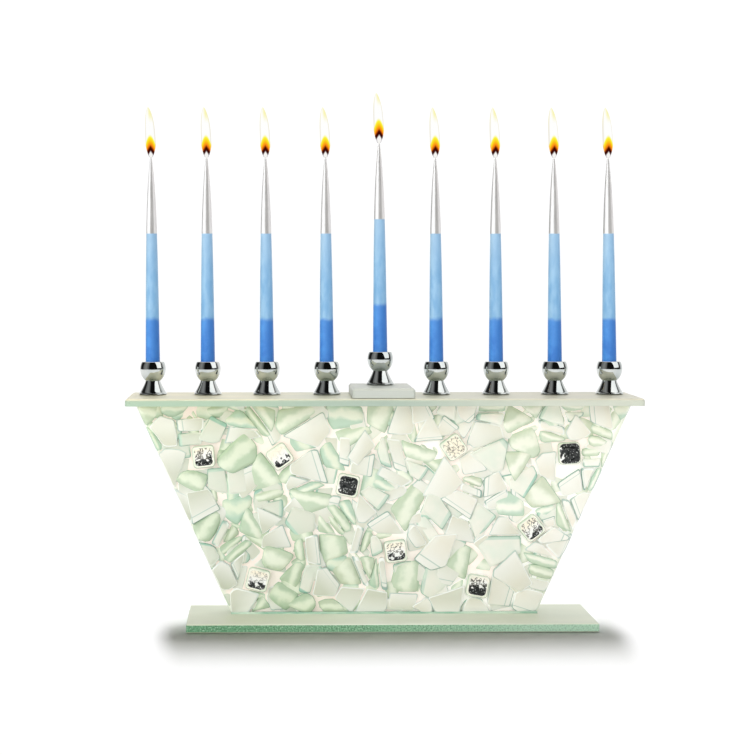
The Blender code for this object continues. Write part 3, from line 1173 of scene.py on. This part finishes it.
def make_leaf(tile, look, material):
    darkens, darkness, wrinkled, border = look
    half = TILE_SIDE / 2 - border
    bpy.ops.object.select_all(action="DESELECT")
    bpy.ops.mesh.primitive_grid_add(x_subdivisions=LEAF_GRID, y_subdivisions=LEAF_GRID, size=2)
    leaf = bpy.context.object
    leaf.name = f"tile_{tile.number}_leaf"
    angle = math.radians(darkens)
    towards = Vector((math.cos(angle), math.sin(angle)))
    painted_reflections = []
    for vertex in leaf.data.vertices:
        flat = Vector((vertex.co.x, vertex.co.y))
        corner = max(0.0, abs(flat.x) + abs(flat.y) - LEAF_CORNER)
        flat *= 1 - corner * CORNER_DRAWN_IN
        place = (tile.right * flat.x + tile.up * flat.y) * half
        # The painted reflection darkens along one direction across the leaf.
        painted_reflections.append(place.dot(towards) / half * 0.75 + darkness)
        spot = Vector((place.x, place.y, tile.number * 0.1)) * CRINKLES
        edge = max(abs(flat.x), abs(flat.y))
        relief = noise.noise(spot) * CRINKLE_HEIGHT * (1 - edge**6)
        middle = tile.centre + place
        vertex.co = (middle.x, tile.front - LEAF_LIFT - relief, middle.y)
    keep_numbers(leaf, shade=painted_reflections, wrinkled=[wrinkled] * len(painted_reflections))
    choose_all(leaf, "FACE")
    run_in_edit_mode(lambda: pull(LEAF_THICKNESS), face_out)
    smooth(leaf, degrees=60)
    settle(leaf, STAND, material, "foil_glass")


glass_of_tiles, leaf_of_tiles = tile_glass_finish(), leaf_finish()
for tile, look in zip(tiles, LEAF_LOOKS):
    make_tile_glass(tile, glass_of_tiles)
    make_leaf(tile, look, leaf_of_tiles)

# %% [markdown]
# ## Turned pieces
#
# Cups, candles, wicks and flames are all round, so each is turned: half of its outline is
# drawn from the axis outwards, and Spin sweeps it round. The doubled points on the axis and
# along the seam are merged afterwards.


# %% Turning
def turned(name, outline, steps=48):
    """A closed solid of revolution from (radius, height) pairs, its foot at the origin."""
    points = [(radius, 0, height) for radius, height in outline]
    edges = [(i, i + 1) for i in range(len(points) - 1)]
    piece = new_piece(name, points, edges=edges)
    axis = {"center": (0, 0, 0), "axis": (0, 0, 1)}
    run_in_edit_mode(lambda: bpy.ops.mesh.spin(steps=steps, angle=math.tau, **axis), face_out)
    return piece


def foot_of(node):
    """The middle of a round node at its foot."""
    low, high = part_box(node)
    return Vector(((low.x + high.x) / 2, (low.y + high.y) / 2, low.z))


def copy_at(pattern, name, foot):
    """A copy of a turned piece, with its own mesh, standing at a foot point."""
    copy = pattern.copy()
    copy.data = pattern.data.copy()
    copy.name = copy.data.name = name
    bpy.context.scene.collection.objects.link(copy)
    copy.data.transform(Matrix.Translation(foot))
    return copy


# %% [markdown]
# One pattern is turned for each kind, and copied to the nine places. Candles set by hand never
# stand quite upright: each one leans a little in its cup, and its wick and flame go with it.


# %% Standing in the row
CANDLE_LENGTH = 0.140
# How far each candle's tip stands to the left of its foot, from the left, shamash last.
LEANS = (0.0012, 0.0008, 0.0009, 0.0009, 0.0008, 0.0006, 0.0007, 0.0010, 0.0008)


def lean(piece, who, distance):
    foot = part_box(node_named("candle", who))[0].z
    for vertex in piece.data.vertices:
        vertex.co.x -= distance * (vertex.co.z - foot) / CANDLE_LENGTH


def fill_the_row(kind, prefix, patterns, material, slot):
    """Copies a pattern to all nine places. The last pattern in the list is the shamash's."""
    for (who, body), distance in zip(CANDLES, LEANS):
        node = node_named(kind, who)
        pattern = patterns[-1] if who == "shamash" else patterns[0]
        piece = copy_at(pattern, f"{prefix}_{node}", foot_of(node))
        if kind == "cup":
            settle(piece, STAND, material, slot, node)
        else:
            lean(piece, who, distance)
            settle(piece, body, material, slot, node)
    for pattern in patterns:
        bpy.data.objects.remove(pattern)


# %% [markdown]
# A cup is a waisted foot under a ball with a socket. Its half outline starts in the middle of
# the underside, goes out round the foot, up over the neck and the ball to the rim, and down
# into the socket.


# %% Cup outline
FOOT_RADIUS, NECK_RADIUS, BALL_RADIUS = 0.0089, 0.0047, 0.00825
RIM_RADIUS, SOCKET_RADIUS = 0.0073, 0.00505
# The heights of the foot's edge, the neck, the ball's widest ring, its end and the cup's top.
LIP, NECK, BALL, BALL_END, CUP_TOP = 0.0009, 0.0088, 0.0163, 0.0207, 0.0210
# How far edges are worn, on the foot and at the rim.
FOOT_WEAR, RIM_WEAR = 0.0003, 0.0001


def eased(start, end, share):
    return start + (end - start) * share


def ball_radius(end, share):
    """The ball's radius at a share of the way from one of its ends to its widest ring."""
    return BALL_RADIUS * math.sqrt(1 - (1 - (end / BALL_RADIUS) ** 2) * (1 - share) ** 2)


def shares(steps):
    return [i / steps for i in range(1, steps + 1)]


def cup_outline(socket_floor):
    worn_foot = FOOT_RADIUS - FOOT_WEAR
    outline = [(0, 0), (worn_foot, 0), (FOOT_RADIUS, FOOT_WEAR), (FOOT_RADIUS, LIP - 0.0002)]
    outline += [(FOOT_RADIUS - 0.0001, LIP), (worn_foot, LIP + 0.0001)]
    for s in shares(12):
        outline.append((eased(NECK_RADIUS, worn_foot, (1 - s) ** 1.2), eased(LIP, NECK, s)))
    for s in shares(16):
        outline.append((ball_radius(NECK_RADIUS, s), eased(NECK, BALL, s)))
    for s in shares(10):
        outline.append((ball_radius(RIM_RADIUS, 1 - s), eased(BALL, BALL_END, s)))
    outline += [(RIM_RADIUS - 0.00012, CUP_TOP - RIM_WEAR), (RIM_RADIUS - 0.0004, CUP_TOP)]
    outline += [(SOCKET_RADIUS + 0.0003, CUP_TOP), (SOCKET_RADIUS + 0.0001, CUP_TOP - RIM_WEAR)]
    return outline + [(SOCKET_RADIUS, BALL_END), (SOCKET_RADIUS, socket_floor), (0, socket_floor)]


# %% [markdown]
# Chrome hardly has a colour of its own and shows what is round it. An underside mirrors the
# shade and the glass close below, which this bright room lacks, so the finish itself is darker
# where a cup faces down.


# %% Chrome
def chrome_finish():
    chrome = Finish("polished_chrome", Roughness=0.05, Metallic=1.0)
    smear = chrome.noise(120, detail=4, stretch=(1, 1, 0.3))
    spot = chrome.noise(900, detail=2)
    cool = chrome.mix(smear.step(0.3, 0.7), tone(200, 206, 205), tone(218, 221, 218))
    downwards = 0.0 - chrome.facing("Z")
    cool = chrome.mix(downwards.step(0.15, 0.95) * 0.8, cool, tone(132, 142, 136))
    chrome.set(Base_Color=cool, Roughness=0.03 + smear * 0.06)
    chrome.bump(spot, 0.03, 0.0001)
    return chrome.material


# %% [markdown]
# The shamash's socket is shallower than the others', so its cup has a pattern of its own.

# %% Cups
SOCKET_FLOORS = {"cup_pattern": 0.0117, "shamash_pattern": 0.0147}
chrome = chrome_finish()
patterns = [turned(name, cup_outline(z), steps=56) for name, z in SOCKET_FLOORS.items()]
for pattern in patterns:
    smooth(pattern, degrees=38)
fill_the_row("cup", "turned", patterns, chrome, "chrome")

# %% [markdown]
# ## Candles
#
# The candles were dipped three times: dark blue at the foot, pale blue over the middle, and
# silver at the top. Each dip leaves a slightly uneven edge, and the pale wax is cloudy where
# it cooled on the dark. The taper is long and nearly straight, and draws in quickly at the
# tip. The height above the foot is kept on each vertex, so that one finish suits candles that
# stand at different heights.


# %% Candle finish
# The heights at which the dark blue and the pale blue end.
DARK_ENDS, PALE_ENDS = 0.0370, 0.0915


def wax_finish():
    wax = Finish("dipped_wax", Roughness=0.38, Coat_Weight=0.25, Coat_Roughness=0.25)
    up, side, shine = wax.attributes("up", "side", "shine")
    streak = wax.noise(260, detail=3, stretch=(1, 1, 0.35))
    cloud = wax.noise(150, detail=4, roughness=0.6)
    shift = (cloud - 0.5) * 0.004
    # Painted shade: both blues are darker towards the candle's right side.
    thick = side.step(-0.8, 0.6)
    dark = wax.mix(cloud.step(0.3, 0.7), tone(48, 120, 206), tone(70, 146, 224))
    dark = wax.mix(up.step(DARK_ENDS - 0.025, DARK_ENDS) * 0.5, dark, tone(88, 156, 224))
    dark = wax.mix(thick * 0.8, dark, tone(38, 106, 184))
    pale = wax.mix(streak.step(0.3, 0.7), tone(124, 174, 214), tone(154, 196, 226))
    pale = wax.mix(up.step(PALE_ENDS - 0.035, PALE_ENDS) * 0.6, pale, tone(174, 204, 226))
    pale = wax.mix(thick * 0.45, pale, tone(104, 154, 196))
    # Painted shine: broad light and dark streaks round the candle.
    silver = wax.ramp(
        shine * 0.5 + 0.5 + (streak - 0.5) * 0.3,
        [
            (0.00, tone(166, 164, 163)),
            (0.34, tone(186, 184, 182)),
            (0.60, tone(232, 232, 232)),
            (0.80, tone(254, 254, 254)),
        ],
    )
    # Painted shade: the silver is greyer on the right side.
    silver = wax.mix(side.step(0.2, 0.8) * 0.6, silver, tone(208, 204, 203))
    blue = wax.mix((up + shift).step(DARK_ENDS - 0.0024, DARK_ENDS + 0.0012), dark, pale)
    dipped = (up + shift * 0.15).step(PALE_ENDS - 0.0002, PALE_ENDS + 0.0002)
    wax.set(Base_Color=wax.mix(dipped, blue, silver))
    wax.set(Metallic=dipped * 0.2, Roughness=0.42 - dipped * 0.12 + streak * 0.08)
    wax.bump(cloud, 0.25, 0.0006)
    return wax.material


# %% [markdown]
# The silver coat is a dip of its own, so the candle is a hair thicker there. Its shine is
# painted: broad light and dark streaks from foot to tip, worked out from the angle round the
# candle, and a greyer right side as painted shade.


# %% Candles
CANDLE_FOOT, CANDLE_TIP, SILVER_COAT = 0.00475, 0.00055, 0.00008
FOOT_EDGE = 0.0005
# How much of the taper is straight, and how suddenly the rest draws in at the tip.
STRAIGHT, TIP_POWER = 0.4, 5.6
# How many painted shine streaks go round the candle, and how far they are turned.
STREAKS, STREAK_TURN = 4, math.radians(35)


def candle_outline():
    outline = [(0, 0), (CANDLE_FOOT - FOOT_EDGE, 0), (CANDLE_FOOT, FOOT_EDGE)]
    for s in shares(44):
        taper = 1 - STRAIGHT * s - (1 - STRAIGHT) * s**TIP_POWER
        height = s * CANDLE_LENGTH
        coat = SILVER_COAT if height > PALE_ENDS else 0.0
        outline.append((eased(CANDLE_TIP, CANDLE_FOOT, taper) + coat, height))
    return outline + [(0, CANDLE_LENGTH)]


def points_of(piece):
    return [vertex.co.copy() for vertex in piece.data.vertices]


candle_pattern = turned("candle_pattern", candle_outline())
points = points_of(candle_pattern)
angles = [math.atan2(p.x, -p.y) for p in points]
keep_numbers(
    candle_pattern,
    up=[p.z for p in points],
    side=[math.sin(a) for a in angles],
    shine=[math.cos(STREAKS * (a + STREAK_TURN)) for a in angles],
)
smooth(candle_pattern, degrees=50)
candle_pattern.visible_glossy = False
fill_the_row("candle", "dipped", [candle_pattern], wax_finish(), "candle_wax")

# %% [markdown]
# A wick is braided cotton, pale at the wax and charred above it. It is turned with a slight
# swelling at every crossing of the braid, and bends to one side as it burns.


# %% Wicks
WICK_RADIUS, WICK_BEND = 0.00038, 0.0003
BRAID_CROSSINGS, BRAID_RELIEF, BRAID_TURN = 13, 0.00007, 2.2


def wick_finish():
    cotton = Finish("charred_cotton", Roughness=0.85)
    up = cotton.attribute("up")
    thread = cotton.noise(2400, detail=2, stretch=(1, 1, 0.4))
    pale = cotton.mix(thread, tone(176, 166, 150), tone(226, 220, 206))
    charred = cotton.mix(thread, tone(30, 12, 8), tone(74, 30, 18))
    burnt = (up + (thread - 0.5) * 0.001).step(0.0012, 0.0026)
    cotton.set(Base_Color=cotton.mix(burnt, pale, charred))
    cotton.bump(thread, 0.5, 0.0002)
    return cotton.material


def wick_outline(height):
    outline = [(0, 0)]
    for i in range(BRAID_CROSSINGS + 1):
        swelling = BRAID_RELIEF * math.sin(i * BRAID_TURN)
        outline.append((WICK_RADIUS + swelling, height * i / BRAID_CROSSINGS))
    return outline + [(0, height)]


def height_of(node):
    low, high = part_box(node)
    return high.z - low.z


def bend(piece, sideways, height):
    """Bends a piece along X, more and more towards its top."""
    for vertex in piece.data.vertices:
        vertex.co.x += sideways * (vertex.co.z / height) ** 2


wick_height = height_of("shamash_wick")
wick_pattern = turned("wick_pattern", wick_outline(wick_height), steps=10)
keep_numbers(wick_pattern, up=[p.z for p in points_of(wick_pattern)])
bend(wick_pattern, WICK_BEND, wick_height)
smooth(wick_pattern, degrees=60)
fill_the_row("wick", "braided", [wick_pattern], wick_finish(), "wick_cotton")

# %% [markdown]
# ## Flames
#
# A candle flame is a hollow teardrop of light. It is nearly white over most of its height,
# yellow below the middle, orange under that, and dark red where the gas leaves the wick. The
# flame is turned, bent a little to one side, and given light of its own. Its colours follow
# the height and the distance from the axis, which are kept on the vertices.


# %% Flame outline
FLAME_RADIUS, FLAME_FOOT = 0.0033, 0.0012
# The flame is widest at this share of its height.
WIDEST_AT = 0.28


def flame_outline(height):
    outline = [(0.0, 0.0), (FLAME_FOOT * 0.7, 0.0)]
    for s in (0.0, *shares(12)):
        radius = eased(FLAME_FOOT, FLAME_RADIUS, math.sin(s * math.pi / 2))
        outline.append((radius, s * WIDEST_AT * height + 1e-5))
    for s in shares(24):
        radius = FLAME_RADIUS * (1 - s**3) ** 0.75
        outline.append((radius, eased(WIDEST_AT, 1.0, s) * height))
    return outline


# %% [markdown]
# Two shapes share out the colours. Under a dome the flame is orange to gold, and over it
# nearly white. Round the wick, a cone that narrows upwards is dark red, with a pale notch at
# its foot. Fire gives light and takes no shade, so the finish is all emission.


# %% Flame finish
def flame_finish():
    flame = Finish("candle_flame", Roughness=1.0, Specular_IOR_Level=0.0)
    flame.set(Base_Color=(0.0, 0.0, 0.0), Emission_Strength=1.0)
    up, side, edge = flame.attributes("up", "side", "edge")
    away = side.maths("ABSOLUTE")
    skin = flame.mix(up.step(0.017, 0.030), tone(238, 234, 222), tone(243, 238, 206))
    warm = up.step(0.0225, 0.0300) * side.step(-0.0012, 0.0010)
    hot = flame.mix(warm, tone(255, 255, 254), tone(250, 245, 178))
    glow = flame.mix(edge.step(0.68, 0.92), hot, skin)
    dome = up + away * away * 560
    gold = flame.ramp(
        (dome - 0.0078) * 140,
        [
            (0.00, tone(214, 92, 16)),
            (0.22, tone(250, 140, 22)),
            (0.55, tone(253, 208, 30)),
            (0.85, tone(252, 246, 60)),
            (1.00, tone(252, 248, 110)),
        ],
    )
    lower = flame.mix((edge - 0.80).step(0.0, 0.2), gold, tone(246, 190, 110))
    body = flame.mix(dome.step(0.0138, 0.0162), lower, glow)
    char = up + away * 1.45
    body = flame.mix(char.step(0.0074, 0.0098), tone(64, 6, 2), body)
    notch = flame.mix(edge.step(0.45, 0.85), tone(248, 247, 244), tone(206, 202, 206))
    body = flame.mix(char.step(0.0042, 0.0058), notch, body)
    flame.set(Emission_Color=body)
    return flame.material


# %% [markdown]
# The dark heart of the shamash's flame reaches a little higher than in the other eight, so the
# shamash has a pattern of its own here too.

# %% Flames
FLAME_BEND, SHAMASH_HIGHER = 0.0017, 0.0013


def flame_pattern(name, lowered):
    height = height_of("shamash_flame")
    pattern = turned(name, flame_outline(height), steps=32)
    points = points_of(pattern)
    rings = [math.hypot(p.x, p.y) for p in points]
    keep_numbers(
        pattern,
        up=[p.z + lowered for p in points],
        side=[p.x for p in points],
        edge=[abs(p.x) / ring if ring > 1e-5 else 0.0 for p, ring in zip(points, rings)],
    )
    bend(pattern, -FLAME_BEND, height)
    smooth(pattern, degrees=70)
    return pattern


flame_light = flame_finish()
patterns = [flame_pattern("flame_pattern", SHAMASH_HIGHER), flame_pattern("shamash_flame", 0.0)]
fill_the_row("flame", "burning", patterns, flame_light, "flame")

# %% [markdown]
# ## Frosted glass plates
#
# The base, the shelf, the block and the sheet behind the mosaic keep their solids, whose
# shapes are already right. They are sandblasted window glass: satin and greyish cream on the
# faces, and green at the cut edges, where light travels a long way through the glass.


# %% Plate finish
def plate_finish(name, broad, faces, edges, speckle):
    """Sandblasted broad faces and cut edges, each from three colours along the length."""
    glass = Finish(name, Roughness=0.5, Coat_Weight=0.3, Coat_Roughness=0.25)
    grain = glass.noise(1000, detail=2)
    cloud = glass.noise(14, detail=3, stretch=(1, 2, 1))
    is_broad = glass.facing(broad).maths("ABSOLUTE")
    # About 0 at the left end of a long plate and 1 at its right end, with wavy borders.
    along = (glass.along("X") + (cloud - 0.5) * 0.08) * 3.6 + 0.5
    places = (0.1, 0.5, 0.85)
    face = glass.ramp(along, list(zip(places, faces)))
    face = glass.mix((cloud - 0.4).clamped(), face, tone(190, 198, 180))
    edge = glass.ramp(along, list(zip(places, edges)))
    speckle = (1 - along.step(0.3, 1.0) * 0.6) * speckle
    edge = glass.mix((0.5 - grain).step(0.0, 0.12) * speckle, edge, tone(64, 108, 78))
    edge = glass.mix(grain.step(0.56, 0.68) * speckle, edge, tone(206, 228, 206))
    glass.set(Base_Color=glass.mix(is_broad.step(0.1, 0.8), edge, face))
    glass.set(Roughness=0.4 + grain * 0.2)
    glass.bump(grain, 0.15, 0.0001)
    return glass.material


def coat_node(name, material):
    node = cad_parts[name]
    node.data.materials.clear()
    node.data.materials.append(material)


# For each plate: the axis that its broad face looks along, the colours of that face and of its
# edge, left to right, and how dusty its edge is.
# The base's face is painted lighter in the middle, as painted light against the shade that the panel
# and shelf cast there.
PLATES = {
    "base_plate": (
        "Z",
        ((226, 231, 206), (248, 251, 237), (222, 226, 206)),
        ((110, 167, 125), (136, 187, 148), (176, 210, 184)),
        0.7,
    ),
    "shelf": (
        "Z",
        ((254, 246, 212), (230, 229, 203), (224, 219, 196)),
        ((170, 194, 169), (166, 182, 167), (199, 204, 188)),
        0.0,
    ),
    "shamash_block": (
        "Z",
        ((212, 214, 202), (212, 214, 202), (206, 208, 197)),
        ((192, 197, 187), (190, 195, 186), (192, 196, 188)),
        0.0,
    ),
    "panel_backing_sheet": (
        "Y",
        ((224, 232, 218), (224, 232, 218), (214, 226, 208)),
        ((160, 200, 172), (160, 200, 172), (160, 200, 172)),
        0.2,
    ),
}
for name, (broad, faces, edges, speckle) in PLATES.items():
    faces, edges = ([tone(*c) for c in colours] for colours in (faces, edges))
    coat_node(name, plate_finish(f"{name}_glass", broad, faces, edges, speckle))
